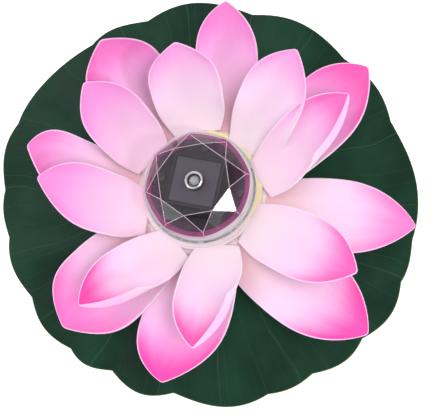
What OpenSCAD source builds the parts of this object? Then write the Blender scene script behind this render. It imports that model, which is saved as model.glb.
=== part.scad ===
// Floating pool light: a lotus of foam petals on a leaf pad, round a solar lamp with a screw-on lens.
// Millimetres, +Z up. The origin is on the lamp's axis at the level of the housing's base.

/* [Leaf and petals] */
// Size of the leaf pad against its drawn outline
leaf_stretch = 1; // [0.8:0.01:1.25]
// Thickness of the leaf sheet
leaf_thickness = 2; // [1.5:0.1:3]
// How far the edge of the leaf droops below its hub
leaf_droop = 12; // [4:0.5:14]
// Length of every petal against its drawn length
petal_stretch = 1; // [0.8:0.01:1.25]
// Thickness of the two petal sheets
petal_thickness = 2.5; // [1.5:0.1:3]

/* [Float] */
// Outer radius of the foam float
float_radius = 65; // [50:1:66]
// Height of the foam float
float_height = 14; // [10:0.5:20]
// Height of the clamp ring under the float
clamp_height = 4; // [3:0.5:6]

/* [Housing] */
// Outer radius of the housing and its threaded neck
housing_radius = 33; // [32:0.5:40]
// Wall of the housing
housing_wall = 2; // [1.6:0.1:3]
// Thickness of the housing's floor
floor_thickness = 3.5; // [3:0.1:5]
// Gap between round parts that slide over the housing
ring_gap = 0.3; // [0.3:0.05:0.6]

/* [Lens] */
// Height of the lens's flat top above the housing's flange
lens_height = 27; // [25:0.5:30]
// Wall of the lens
lens_wall = 2; // [1.5:0.1:3]
// Turn of the first point of the eight-pointed crown
crown_turn = 8; // [0:1:44]
// Rise of the lens thread in one turn
thread_pitch = 4; // [3.5:0.1:5]

/* [Solar panel and lamp] */
// Side of the square solar cell
cell_side = 31.4; // [26:0.1:34]
// Turn of the cell about the lamp's axis
cell_turn = -12.6; // [-45:0.1:45]
// Radius of the lamp's dome
lamp_radius = 3.5; // [2.5:0.1:4]

/* [Battery and switch] */
// Outer diameter of the battery over its sleeve
battery_diameter = 10.5; // [9:0.1:11]
// Length of the battery's can
battery_length = 29; // [24:0.5:30]
// Travel of the power button
button_travel = 1.2; // [0.8:0.1:1.3]

/* [Hidden] */
$fn = 96;
eps = 0.01;
// How far a cut reaches past a face, and how far joined solids run into each other
past = 1;

// Levels of the stack, from the clamp ring up to the lens
clamp_z = 2;
float_z = clamp_z + clamp_height;
leaf_z = float_z + float_height;
outer_z = leaf_z + leaf_thickness;
inner_z = outer_z + petal_thickness;
flange_z = inner_z + petal_thickness;
flange_thickness = 2;
seal_z = flange_z + flange_thickness;
seal_height = 0.8;
lens_z = seal_z + seal_height;
lens_flange_thickness = 2;
lens_top = seal_z + lens_height;
neck_top = seal_z + 8.5;
ledge_z = seal_z + 4.5;
plate_thickness = 2;
cell_thickness = 1.2;
tray_top = lens_top - 9.4;
seat_z = tray_top - cell_thickness;
seat_thickness = 1;
board_z = ledge_z - 7.5;
board_thickness = 1.6;
board_top = board_z + board_thickness;

collar_height = 1.4;
lamp_top = lens_top - lens_wall - 0.6;
collar_z = lamp_top - collar_height - 0.2;

// Radii of the parts round the housing
housing_bore = housing_radius - housing_wall;
ring_bore = housing_radius + ring_gap;
flange_radius = housing_radius + 4.6;
clamp_radius = housing_radius + 11;
rim_radius = housing_radius + 7;
skirt_radius = housing_radius + 3.3;
skirt_bore = skirt_radius - lens_wall;
board_radius = housing_radius - 12;
tray_radius = housing_radius - 3.9;
tray_screw_r = housing_radius - 8.5;
post_r = housing_radius - 15;
post_turns = [50, 130, 230, 310];
leaf_flat_r = housing_radius + 33;

// Lens crown: the table's corner radius, the star points' radius and the two facet tilts
table_r = skirt_radius - 11.7;
star_tilt = 42.5;
kite_tilt = 57;

crown_points = 8;
crown_step = 360 / crown_points;

// Thread ribs
rib_height = 1.2;
rib_reach = 0.9;
rib_embed = 0.3;
rib_step = 20;
thread_z = seal_z + 2.4;
neck_thread_turns = 1.25;
lens_thread_turns = 1;

// Inside the housing: the ledge under the tray, the posts, and the lugs that hold the clamp ring
ledge_width = 4;
ledge_thickness = 2;
board_post_radius = 2.2;
tray_post_radius = 3;
tray_post_height = 9.5;
tray_post_drop = 0.2;
tray_web_width = 3;
door_post_radius = 2.6;
door_post_height = 6.5;
switch_rib_x = 7.3;
switch_rib = [1.4, 6];
lug_turns = [30, 150, 270];
lug_angle = 24;
lug_size = [1.4, 1.2];

// Notches round the clamp ring, for a thumb's grip
notch_radius = 1.6;
notch_count = 12;
float_edge = 4;

// Battery compartment, along X
battery_z = 10;
cell_radius = battery_diameter / 2;
sleeve_wall = 0.2;
can_radius = cell_radius - sleeve_wall - 0.05;
can_start = -14;
can_end = can_start + battery_length;
terminal_end = can_end + 1;
contact_thickness = 0.8;
contact_side = 1.36 * cell_radius;
channel_radius = cell_radius + 0.07;
channel_start = can_start - 3.8;
channel_end = terminal_end + contact_thickness;
cradle_wall = 1;
cradle_width = 2 * channel_radius + 5;
cradle_top = battery_z + channel_radius + 1.4;
opening = [35, 12.6];
door_ledge_z = floor_thickness - 1.1;
door_size = [48.4, 17.4];
door_recess = [49, 18];
door_z = 0.4;
door_thickness = 1.4;
door_screw_x = 21.6;

// Lamp's two legs, and the four holes for leads in the tray
leg_x = 1.27;
leg_radius = 0.35;
leg_hole = 0.7;
holder_gap = 0.9;
holder_wall = 1.3;
holder_floor = 1;
holder_floor_z = tray_top - 0.2;
lamp_flange = [0.4, 1];
lead_x = 11;
lead_hole = 1.2;

// Power button and switch
button_y = 14 - housing_radius;
button_radius = 4.7;
button_hole = 5;
switch_side = 6;
button_lip = [1.4, 0.7];
button_stem = 2.2;
plunger_radius = 1.6;
plunger_height = 3.2;
plunger_z = floor_thickness + 2.4;
switch_z = plunger_z + button_travel + 0.4;
switch_board_z = switch_z + 3.5;
switch_board_size = [17, 9];
switch_board_thickness = 1.2;
bezel_radius = 7.45;
bezel_depth = 1.5;

// Fasteners: [shank radius, head radius, head height]
tray_screw = [1.5, 2.6, 1.4];
board_screw = [1.1, 2, 1.2];
door_screw = [1.1, 1.8, 0.9];
bore_gap = 0.05;
hole_gap = 0.35;

// Leads
lead_radius = 0.6;
thin_lead_radius = 0.5;

// Sheets of the petals: rows of points along one, columns across it, and the share of its length they draw
petal_rows = 14;
petal_columns = 7;
petal_end = 0.985;
// How far a petal sinks into the hub ring, and how much thinner it is
petal_sink = 0.15;
petal_thinning = 0.3;
// Smallest cup, so that an uncupped petal still has a bow to follow
least_cup = 0.06;
// Rows and columns of points of the leaf
leaf_rows = 10;
leaf_columns = 120;
leaf_tuck = 0.15;

// Leaf edge: each scallop's starting angle, radius there and bulge to the next one
SCALLOPS = [
    [20, 134, 3], [44, 133, 3], [76, 133, 6], [108, 134, 3], [126, 139, 4], [157, 146, 3],
    [176, 144, 2], [190, 141, 3], [209, 138, 4], [228, 138, 4], [241, 134, 6], [261, 135, 5],
    [287, 141, 2], [300, 141, 4], [316, 144, 5], [334, 144, 1], [346, 142, 3]
];

// Petals: angle of the root, heading, length, width, pitch at the root, pitch at the tip,
// sideways bend, cup angle, sag of the middle, bluntness of the tip
OUTER_PETALS = [
    [68, 83, 92, 44, 14, 54, 0, 36, 0.2, 3.0],
    [123, 122, 86, 58, 14, 62, 0, 38, 0.2, 3.6],
    [180, 180, 80, 58, 6, 52, -26, 38, 0.2, 2.8],
    [224, 229, 90, 66, 4, 32, 0, 34, 0.2, 3.4],
    [271, 263, 92, 60, 4, 22, -12, 32, 0.2, 2.8],
    [305, 322, 109, 56, 3, 14, 0, 30, 0.2, 2.4],
    [342, 349, 104, 50, 3, 14, 0, 30, 0.2, 2.2],
    [19, 35, 102, 52, 6, 42, 0, 34, 0.2, 2.8]
];
INNER_PETALS = [
    [94, 97, 69, 50, 28, 62, 0, 40, 0, 3.6],
    [38, 54, 82, 48, 20, 50, 0, 40, 0, 2.6],
    [5, 35, 89, 42, 16, 42, 0, 45, 0, 2.4],
    [323, 331, 89, 46, 12, 28, 0, 40, 0, 2.6],
    [287, 264, 81, 44, 12, 38, -3, 45, 0, 2.4],
    [246, 218, 81, 41, 12, 38, 0, 42, 0, 2.4],
    [202, 173, 78, 46, 14, 44, -10, 42, 0, 2.4],
    [147, 131, 74, 44, 24, 58, 0, 42, 0, 2.8]
];

// ---- General shapes ----

// A flat ring standing on z
module ring(inner, outer, z, height) {
    translate([0, 0, z])
        difference() {
            cylinder(r = outer, h = height);
            translate([0, 0, -past])
                cylinder(r = inner, h = height + 2 * past);
        }
}

// A box centred on X and Y, standing on z
module block(size, z, height) {
    translate([-size[0] / 2, -size[1] / 2, z])
        cube([size[0], size[1], height]);
}

// A rectangular frame standing on z
module frame(outer, inner, z, height) {
    difference() {
        block(outer, z, height);
        block(inner, z - past, height + 2 * past);
    }
}

// A round post with its base at a point
module post(at, radius, height) {
    translate(at)
        cylinder(r = radius, h = height);
}

// A pan-head screw whose head stands on the point, its shank pointing down
module screw(at, kind, length) {
    translate(at) {
        cylinder(r = kind[1], h = kind[2]);
        translate([0, 0, -length])
            cylinder(r = kind[0], h = length + eps);
    }
}

// A wire through a list of points
module lead(points, radius) {
    for (i = [0 : len(points) - 2]) {
        step = points[i + 1] - points[i];
        reach = norm(step);
        translate(points[i])
            rotate([0, acos(step[2] / reach), atan2(step[1], step[0])])
                cylinder(r = radius, h = reach);
    }
    for (i = [1 : 1 : len(points) - 2])
        translate(points[i])
            sphere(r = 1.25 * radius);
}

// Thread ribs: short arcs that climb one pitch in a turn
module thread(root, crest, first_turn, turns) {
    for (turn = [0 : rib_step : turns * 360 - rib_step])
        rotate([0, 0, first_turn + turn])
            translate([0, 0, thread_z + thread_pitch * turn / 360])
                rotate_extrude(angle = rib_step + 0.6)
                    polygon([[root, -rib_height / 2], [crest, -rib_height / 4],
                        [crest, rib_height / 4], [root, rib_height / 2]]);
}

// Two triangles that fill a quadrilateral
function quad(a, b, c, d) = [[a, b, c], [a, c, d]];

// Faces of a closed sheet whose rows and columns of points are listed upper side first
function sheet_faces(rows, columns) = let (
    lower = rows * columns,
    at = function (i, j) i * columns + j
) concat(
    [for (i = [0 : rows - 2], j = [0 : columns - 2])
        each quad(at(i, j), at(i, j + 1), at(i + 1, j + 1), at(i + 1, j))],
    [for (i = [0 : rows - 2], j = [0 : columns - 2])
        each quad(lower + at(i, j), lower + at(i + 1, j),
            lower + at(i + 1, j + 1), lower + at(i, j + 1))],
    [for (i = [0 : rows - 2])
        each quad(at(i, 0), at(i + 1, 0), lower + at(i + 1, 0), lower + at(i, 0))],
    [for (i = [0 : rows - 2])
        each quad(at(i, columns - 1), lower + at(i, columns - 1),
            lower + at(i + 1, columns - 1), at(i + 1, columns - 1))],
    [for (j = [0 : columns - 2])
        each quad(at(0, j), lower + at(0, j), lower + at(0, j + 1), at(0, j + 1))],
    [for (j = [0 : columns - 2])
        each quad(at(rows - 1, j), at(rows - 1, j + 1),
            lower + at(rows - 1, j + 1), lower + at(rows - 1, j))]
);

// ---- Housing and soft layers ----

module lower_housing() {
    color("ghostwhite")
        difference() {
            union() {
                difference() {
                    cylinder(r = housing_radius, h = neck_top);
                    translate([0, 0, floor_thickness])
                        cylinder(r = housing_bore, h = neck_top);
                }
                ring(housing_radius - past, flange_radius, flange_z, flange_thickness);
                ring(housing_bore - ledge_width, housing_bore + past, ledge_z - ledge_thickness,
                    ledge_thickness);
                thread(housing_radius - rib_embed, housing_radius + rib_reach, 0, neck_thread_turns);
                clamp_lugs();
                for (turn = post_turns)
                    rotate([0, 0, turn])
                        post([post_r, 0, floor_thickness - past], board_post_radius,
                            board_z - floor_thickness + past);
                tray_posts();
                for (side = [-1, 1]) {
                    post([side * door_screw_x, 0, floor_thickness - past], door_post_radius,
                        door_post_height);
                    translate([side * switch_rib_x - switch_rib[0] / 2, button_y - switch_rib[1] / 2,
                            floor_thickness - past])
                        cube([switch_rib[0], switch_rib[1], switch_board_z - floor_thickness + past]);
                }
            }
            block(door_recess, -past, door_ledge_z + past);
            block(opening, -past, floor_thickness + 2 * past);
            for (side = [-1, 1])
                post([side * door_screw_x, 0, -past], door_screw[0] + bore_gap,
                    door_post_height + 2 * past);
            post([0, button_y, -past], button_hole, floor_thickness + 2 * past);
            post([0, button_y, -past], bezel_radius + bore_gap, bezel_depth + past);
            for (turn = post_turns)
                rotate([0, 0, turn])
                    post([post_r, 0, board_z - 7], board_screw[0] + bore_gap, 8);
            for (turn = [0 : 90 : 270])
                rotate([0, 0, cell_turn + turn])
                    post([tray_screw_r, 0, ledge_z - 8], tray_screw[0] + bore_gap, 9);
        }
}

// Lugs low on the housing's side, over which the clamp ring snaps
module clamp_lugs() {
    for (turn = lug_turns)
        rotate([0, 0, turn])
            translate([0, 0, clamp_z - lug_size[1]])
                rotate_extrude(angle = lug_angle)
                    translate([housing_radius - past, 0])
                        square([past + lug_size[0], lug_size[1]]);
}

// Posts under the tray's screws, each webbed to the housing's wall
module tray_posts() {
    for (turn = [0 : 90 : 270])
        rotate([0, 0, cell_turn + turn]) {
            post([tray_screw_r, 0, ledge_z - tray_post_height], tray_post_radius,
                tray_post_height - tray_post_drop);
            translate([tray_screw_r + 1, -tray_web_width / 2, ledge_z - tray_post_height])
                cube([housing_bore - tray_screw_r, tray_web_width, tray_post_height - 0.5]);
        }
}

module clamp_ring() {
    color("whitesmoke")
        difference() {
            ring(ring_bore, clamp_radius, clamp_z, clamp_height);
            for (turn = [0 : 360 / notch_count : 359])
                rotate([0, 0, turn])
                    post([clamp_radius + 0.6, 0, clamp_z - past], notch_radius, clamp_height + 2 * past);
        }
}

module foam_float() {
    color("white")
        rotate_extrude()
            union() {
                translate([ring_bore, float_z])
                    square([float_radius - float_edge - ring_bore, float_height]);
                translate([ring_bore, float_z + float_edge])
                    square([float_radius - ring_bore, float_height - 2 * float_edge]);
                for (z = [float_z + float_edge, float_z + float_height - float_edge])
                    translate([float_radius - float_edge, z])
                        circle(r = float_edge);
            }
}

// Radius of the leaf's edge at an angle
function leaf_edge(angle) = let (
    count = len(SCALLOPS),
    first = SCALLOPS[0][0],
    turned = angle < first ? angle + 360 : angle,
    i = max([for (k = [0 : count - 1]) if (SCALLOPS[k][0] <= turned) k]),
    from = SCALLOPS[i],
    to = SCALLOPS[(i + 1) % count],
    span = to[0] - from[0] + (i == count - 1 ? 360 : 0),
    s = (turned - from[0]) / span
) leaf_stretch * (from[1] + (to[1] - from[1]) * (1 - cos(180 * s)) / 2 + from[2] * sin(180 * s));

// Ruffle of the leaf's edge at an angle
function leaf_ruffle(angle) = 2.2 * sin(7 * angle + 34) + 1.6 * sin(11 * angle + 115) + sin(4 * angle);

// A point of the leaf, from the flat hub at s = 0 to the edge at s = 1
function leaf_point(angle, s, below) = let (
    start = leaf_flat_r - 6,
    edge = leaf_edge(angle),
    r = start + (edge - start) * s,
    out = max(0, (r - leaf_flat_r) / (edge - leaf_flat_r)),
    tuck = s == 0 ? leaf_tuck : 0,
    top = outer_z - leaf_droop * pow(out, 1.4) + leaf_ruffle(angle) * out * out
) [r * cos(angle), r * sin(angle), below ? top - leaf_thickness + tuck : top - tuck];

module leaf_pad() {
    ways = [for (j = [0 : leaf_columns - 1]) j * 360 / leaf_columns];
    upper = [for (i = [0 : leaf_rows - 1], a = ways) leaf_point(a, i / (leaf_rows - 1), false)];
    lower = [for (i = [0 : leaf_rows - 1], a = ways) leaf_point(a, i / (leaf_rows - 1), true)];
    n = leaf_columns;
    half = leaf_rows * n;
    faces = [
        for (i = [0 : leaf_rows - 2], j = [0 : n - 1]) let (k = (j + 1) % n, a = i * n, b = a + n)
            each concat(
                quad(a + j, a + k, b + k, b + j),
                quad(half + a + j, half + b + j, half + b + k, half + a + k)),
        for (j = [0 : n - 1]) let (k = (j + 1) % n, e = (leaf_rows - 1) * n)
            each concat(
                quad(j, half + j, half + k, k),
                quad(e + j, e + k, half + e + k, half + e + j))
    ];
    color("darkgreen")
        union() {
            ring(ring_bore, leaf_flat_r - 2, leaf_z, leaf_thickness);
            polyhedron(points = concat(upper, lower), faces = faces);
        }
}

// A point of a petal at u along it and v across it; v runs from -1 to 1
function petal_point(p, top_z, root_r, u, v, below) = let (
    length = p[2] * petal_stretch,
    turn = (p[5] - p[4]) * PI / 180,
    pitch = p[4] + (p[5] - p[4]) * u,
    out = length * (sin(pitch) - sin(p[4])) / turn,
    up = length * (cos(p[4]) - cos(pitch)) / turn,
    waist = u < 0.5 ? 1 - 0.38 * pow(1 - 2 * u, 2) : 1 - pow(2 * u - 1, p[9]),
    half = p[3] / 2 * waist,
    rise = min(u / 0.4, 1),
    cup = p[7] * rise * rise * (3 - 2 * rise) + least_cup,
    bow = half / (cup * PI / 180),
    across = bow * sin(cup * v),
    lift = bow * (1 - cos(cup * v)) - p[8] * bow * (1 - cos(cup)),
    sheet = below ? petal_thickness - petal_thinning : 0,
    side = p[6] * u * u + across + sheet * sin(cup * v),
    high = lift - sheet * cos(cup * v),
    reach = out - high * sin(pitch)
) [
    root_r * cos(p[0]) + reach * cos(p[1]) - side * sin(p[1]),
    root_r * sin(p[0]) + reach * sin(p[1]) + side * cos(p[1]),
    top_z - petal_sink + up + high * cos(pitch)
];

module petal(p, top_z, root_r) {
    ways = [
        for (i = [0 : petal_rows - 1], j = [0 : petal_columns - 1])
            [petal_end * i / (petal_rows - 1), 2 * j / (petal_columns - 1) - 1]
    ];
    upper = [for (w = ways) petal_point(p, top_z, root_r, w[0], w[1], false)];
    lower = [for (w = ways) petal_point(p, top_z, root_r, w[0], w[1], true)];
    polyhedron(points = concat(upper, lower), faces = sheet_faces(petal_rows, petal_columns));
}

module outer_petals() {
    root_r = housing_radius + 9;
    color("hotpink")
        union() {
            ring(ring_bore, root_r + 2, outer_z, petal_thickness);
            for (p = OUTER_PETALS)
                petal(p, inner_z, root_r);
        }
}

module inner_petals() {
    root_r = housing_radius + 6;
    color("pink")
        difference() {
            union() {
                ring(ring_bore, root_r + 2, inner_z, petal_thickness);
                for (p = INNER_PETALS)
                    petal(p, flange_z, root_r);
            }
            translate([0, 0, flange_z])
                cylinder(r = flange_radius + ring_gap, h = 4 * flange_thickness);
        }
}

// ---- Lens and its seal ----

// Everything outside the crown's sixteen sloping facets, moved inwards by a wall
module crown_cuts(inset) {
    far = 4 * skirt_radius;
    for (i = [0 : crown_points - 1])
        for (facet = [[0, table_r * cos(crown_step / 2), star_tilt], [crown_step / 2, table_r, kite_tilt]])
            rotate([0, 0, crown_turn + crown_step * i + facet[0]])
                translate([facet[1], 0, lens_top])
                    rotate([0, facet[2], 0])
                        translate([-far / 2, -far / 2, -inset])
                            cube(far);
}

module lens_cap() {
    color("lavender", 0.4)
        union() {
            difference() {
                union() {
                    difference() {
                        translate([0, 0, lens_z])
                            cylinder(r = skirt_radius, h = lens_top - lens_z);
                        crown_cuts(0);
                    }
                    translate([0, 0, lens_z])
                        cylinder(r = rim_radius, h = lens_flange_thickness);
                }
                difference() {
                    translate([0, 0, lens_z - past])
                        cylinder(r = skirt_bore, h = lens_top - lens_wall - lens_z + past);
                    crown_cuts(lens_wall);
                }
            }
            thread(skirt_bore + rib_embed, skirt_bore - rib_reach + 0.1, 180, lens_thread_turns);
        }
}

module lens_o_ring() {
    color("gainsboro")
        ring(housing_radius + 1.6, flange_radius - 0.4, seal_z, seal_height);
}

module tint_ring() {
    inner = tray_radius + 0.4;
    color("mediumvioletred")
        union() {
            ring(inner, housing_bore - ring_gap, ledge_z, neck_top - ledge_z + 0.4);
            ring(inner + 0.4, housing_radius - 0.1, neck_top, 0.8);
        }
}

// ---- Solar panel and lamp ----

module panel_tray() {
    seat = cell_side + 2.6;
    color("dimgray")
        difference() {
            union() {
                translate([0, 0, ledge_z])
                    cylinder(r = tray_radius, h = plate_thickness);
                rotate([0, 0, cell_turn])
                    block([seat, seat], ledge_z + 1, tray_top - ledge_z - 1);
            }
            rotate([0, 0, cell_turn]) {
                block([seat - 3, seat - 3], ledge_z - past, seat_z - seat_thickness - ledge_z + past);
                block([cell_side + 0.4, cell_side + 0.4], seat_z, cell_thickness + past);
                for (turn = [0 : 90 : 270])
                    rotate([0, 0, turn])
                        post([tray_screw_r, 0, ledge_z - past], tray_screw[0] + hole_gap,
                            plate_thickness + 2 * past);
                for (y = [-lead_x, lead_x])
                    post([0, y, seat_z - 2 * past], lead_hole, 4 * past);
            }
            for (x = [-leg_x, leg_x])
                post([x, 0, seat_z - 2 * past], leg_hole, 4 * past);
        }
}

module tray_screws() {
    color("silver")
        for (turn = [0 : 90 : 270])
            rotate([0, 0, cell_turn + turn])
                screw([tray_screw_r, 0, ledge_z + plate_thickness], tray_screw, plate_thickness + 7);
}

module solar_cell() {
    color("darkslategray")
        rotate([0, 0, cell_turn])
            difference() {
                block([cell_side, cell_side], seat_z, cell_thickness);
                post([0, 0, seat_z - 1], lamp_radius + 2.9, cell_thickness + 2);
            }
}

module led_holder() {
    color("dimgray")
        difference() {
            post([0, 0, seat_z], lamp_radius + holder_gap + holder_wall, collar_z - seat_z);
            post([0, 0, seat_z - past], lamp_radius + holder_gap, holder_floor_z - seat_z + past);
            post([0, 0, holder_floor_z + holder_floor], lamp_radius + holder_gap, collar_z);
            for (x = [-leg_x, leg_x])
                post([x, 0, seat_z], leg_hole, collar_z - seat_z);
        }
}

module led_lamp() {
    flange_base = holder_floor_z + holder_floor;
    dome_z = lamp_top - lamp_radius;
    color("whitesmoke")
        union() {
            post([0, 0, flange_base], lamp_radius + lamp_flange[0], lamp_flange[1]);
            post([0, 0, flange_base + 0.5], lamp_radius, dome_z - flange_base - 0.5);
            translate([0, 0, dome_z])
                intersection() {
                    sphere(r = lamp_radius - 0.02);
                    block([3 * lamp_radius, 3 * lamp_radius], -0.5, 2 * lamp_radius);
                }
            for (x = [-leg_x, leg_x])
                post([x, 0, board_top], leg_radius, flange_base - board_top + 0.5);
        }
}

module led_collar() {
    inner = lamp_radius + holder_gap;
    outer = lamp_radius + holder_gap + holder_wall + 0.3;
    color("gainsboro")
        translate([0, 0, collar_z])
            rotate_extrude()
                polygon([
                    [inner, 0], [outer, 0], [outer, collar_height - 0.5], [outer - 0.5, collar_height],
                    [inner + 0.4, collar_height - 0.3], [inner, collar_height - 0.8]
                ]);
}

// ---- Electronics ----

module circuit_board() {
    color("seagreen")
        difference() {
            post([0, 0, board_z], board_radius, board_thickness);
            for (turn = post_turns)
                rotate([0, 0, turn])
                    post([post_r, 0, board_z - past], board_screw[0] + hole_gap,
                        board_thickness + 2 * past);
        }
}

module driver_chip() {
    color("black")
        union() {
            translate([6, -9, board_top])
                cube([5, 4, 1.6]);
            for (x = [0 : 1.25 : 3.75], y = [-9.8, -5.2])
                translate([6.4 + x, y, board_top])
                    cube([0.5, 1, 0.5]);
        }
}

module boost_coil() {
    color("darkgoldenrod")
        translate([-9, -8, board_top])
            union() {
                cylinder(r = 3.6, h = 0.8);
                cylinder(r = 2.9, h = 4);
                translate([0, 0, 3.6])
                    cylinder(r = 3.6, h = 0.8);
            }
}

module capacitor() {
    color("steelblue")
        union() {
            post([-8, 8, board_top], 2.7, 0.6);
            post([-8, 8, board_top + 0.3], 2.4, 4.3);
        }
}

module chip_resistors() {
    color("darkslategray")
        for (spot = [[4, 7], [4, 10], [8, 7], [8, 10]])
            translate([spot[0], spot[1], board_top])
                cube([2, 1.25, 0.6]);
}

module board_screws() {
    color("silver")
        for (turn = post_turns)
            rotate([0, 0, turn])
                screw([post_r, 0, board_top], board_screw, board_thickness + 5);
}

// ---- Battery ----

module battery_cradle() {
    start = channel_start - cradle_wall;
    reach = channel_end + cradle_wall - start;
    color("lightgray")
        difference() {
            translate([start, -cradle_width / 2, floor_thickness])
                cube([reach, cradle_width, cradle_top - floor_thickness]);
            translate([channel_start, 0, battery_z])
                rotate([0, 90, 0])
                    cylinder(r = channel_radius, h = channel_end - channel_start);
            translate([channel_start, 0.3 - channel_radius, floor_thickness - past])
                cube([channel_end - channel_start, 2 * channel_radius - 0.6,
                    battery_z - floor_thickness + past]);
            for (x = [channel_start + 0.6, channel_end - 0.4])
                post([x, 0, battery_z], 1.1, cradle_top);
        }
}

module battery_cell() {
    color("silver")
        translate([can_start, 0, battery_z])
            rotate([0, 90, 0])
                cylinder(r = can_radius, h = battery_length);
}

module battery_sleeve() {
    color("limegreen")
        translate([can_start + 0.5, 0, battery_z])
            rotate([0, 90, 0])
                ring(can_radius + 0.05, cell_radius, 0, battery_length - 1);
}

module battery_terminal() {
    color("gold")
        translate([can_end, 0, battery_z])
            rotate([0, 90, 0])
                cylinder(r = 2, h = terminal_end - can_end);
}

module contact_plate() {
    color("gold")
        translate([terminal_end, -contact_side / 2, battery_z - contact_side / 2])
            cube([contact_thickness, contact_side, contact_side]);
}

module contact_spring() {
    width = contact_side * 0.6;
    half = contact_side / 2 - 0.07;
    reach = can_start - channel_start;
    color("gold")
        translate([channel_start, width / 2, battery_z])
            rotate([90, 0, 0])
                linear_extrude(width)
                    polygon([
                        [0, -half], [0.5, -half], [reach, 0.4], [reach, 1.2], [reach - 0.8, 1.2],
                        [0.5, -1.7], [0.5, half], [0, half]
                    ]);
}

module battery_door() {
    color("whitesmoke")
        difference() {
            union() {
                block(door_size, door_z, door_thickness);
                for (x = [-6 : 3 : 6])
                    translate([x - 0.5, -5, door_z - 0.3])
                        cube([1, 10, 1]);
            }
            for (side = [-1, 1]) {
                post([side * door_screw_x, 0, -past], door_screw[0] + hole_gap, 4 * past);
                post([side * door_screw_x, 0, -past], door_screw[1] + hole_gap, door_screw[2] + past);
            }
        }
}

module door_gasket() {
    color("dimgray")
        frame([38.6, 16.4], [opening[0] + 0.6, opening[1] + 0.6], door_z + door_thickness,
            door_ledge_z - door_z - door_thickness);
}

module door_screws() {
    color("silver")
        for (side = [-1, 1])
            translate([side * door_screw_x, 0, door_screw[2]])
                mirror([0, 0, 1])
                    screw([0, 0, 0], [door_screw[0], door_screw[1], door_screw[2] - 0.4], 6);
}

module battery_pad() {
    color("black")
        block([22, 6], door_z + door_thickness, battery_z - cell_radius - door_z - door_thickness - 0.1);
}

// ---- Switch ----

module power_button() {
    color("dimgray")
        translate([0, button_y, 0])
            union() {
                post([0, 0, 0.6], button_radius, floor_thickness);
                post([0, 0, floor_thickness], button_radius + button_lip[0], button_lip[1]);
                post([0, 0, floor_thickness + 0.5], button_stem, plunger_z - floor_thickness - 0.5);
            }
}

module switch_plunger() {
    color("ivory")
        post([0, button_y, plunger_z], plunger_radius, plunger_height);
}

module switch_body() {
    color("black")
        translate([0, button_y, 0])
            difference() {
                block([switch_side, switch_side], switch_z, switch_board_z - switch_z);
                post([0, 0, switch_z - past], plunger_radius + bore_gap,
                    past + plunger_height - (switch_z - plunger_z) + button_travel + 0.2);
            }
}

module switch_board() {
    color("seagreen")
        translate([0, button_y, 0])
            block(switch_board_size, switch_board_z, switch_board_thickness);
}

module button_bezel() {
    color("gray")
        translate([0, button_y, 0])
            ring(button_radius + 0.7, bezel_radius, 0.2, bezel_depth - 0.2);
}

// ---- Leads ----

module panel_lead(side) {
    lead([
        [0, side * lead_x, seat_z],
        [0, side * lead_x, board_top + 5],
        [side * 3, side * (lead_x + 2), board_top + 3],
        [side * 3, side * (lead_x + 2), board_top]
    ], lead_radius);
}

module panel_lead_red() {
    color("red")
        rotate([0, 0, cell_turn])
            panel_lead(1);
}

module panel_lead_black() {
    color("black")
        rotate([0, 0, cell_turn])
            panel_lead(-1);
}

module battery_lead(x, top_x) {
    lead([
        [x, 0, battery_z + contact_side / 2],
        [x, 0, cradle_top + 2],
        [top_x, 3, cradle_top + 5],
        [top_x, 3, board_z]
    ], lead_radius);
}

module battery_lead_red() {
    color("red")
        battery_lead(channel_end - 0.4, channel_end - 5);
}

module battery_lead_black() {
    color("black")
        battery_lead(channel_start + 0.6, channel_start + 5);
}

module switch_leads() {
    color("white")
        for (x = [-6, 6])
            lead([
                [x, button_y, switch_board_z + switch_board_thickness],
                [x, button_y, switch_board_z + 5],
                [x / 2, button_y + 6, board_z - 4],
                [x / 2, button_y + 6, board_z]
            ], thin_lead_radius);
}

lower_housing();
clamp_ring();
foam_float();
leaf_pad();
outer_petals();
inner_petals();
lens_cap();
lens_o_ring();
tint_ring();
panel_tray();
tray_screws();
solar_cell();
led_holder();
led_lamp();
led_collar();
circuit_board();
driver_chip();
boost_coil();
capacitor();
chip_resistors();
board_screws();
battery_cradle();
battery_cell();
battery_sleeve();
battery_terminal();
contact_plate();
contact_spring();
battery_door();
door_gasket();
door_screws();
battery_pad();
power_button();
switch_plunger();
switch_body();
switch_board();
button_bezel();
panel_lead_red();
panel_lead_black();
battery_lead_red();
battery_lead_black();
switch_leads();
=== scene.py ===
import bpy
import numpy as np
from mathutils import Matrix, Vector


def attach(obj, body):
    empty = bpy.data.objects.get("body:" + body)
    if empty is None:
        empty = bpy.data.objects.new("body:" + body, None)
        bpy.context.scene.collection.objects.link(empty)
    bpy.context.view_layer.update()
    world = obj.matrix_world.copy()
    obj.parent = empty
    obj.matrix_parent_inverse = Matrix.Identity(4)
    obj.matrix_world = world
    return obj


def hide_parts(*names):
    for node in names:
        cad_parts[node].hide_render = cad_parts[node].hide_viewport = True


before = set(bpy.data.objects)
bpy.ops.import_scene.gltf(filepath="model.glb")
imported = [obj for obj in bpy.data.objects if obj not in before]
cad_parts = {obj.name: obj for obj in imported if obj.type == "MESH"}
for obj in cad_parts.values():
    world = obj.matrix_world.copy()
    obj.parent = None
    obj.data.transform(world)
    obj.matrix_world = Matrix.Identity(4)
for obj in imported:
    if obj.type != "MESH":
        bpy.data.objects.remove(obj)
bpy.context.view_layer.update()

# ---- Stage: camera, lights, floor ----
# The light floats in plain view from above, so the camera looks down at 74 degrees with +Y up the frame.
# Four square softboxes stand round it: a small one that a facet of the lens mirrors, a low cool one, a wide
# one for sheen and the key light. A pale room that dims towards one side lights the rest.

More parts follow.
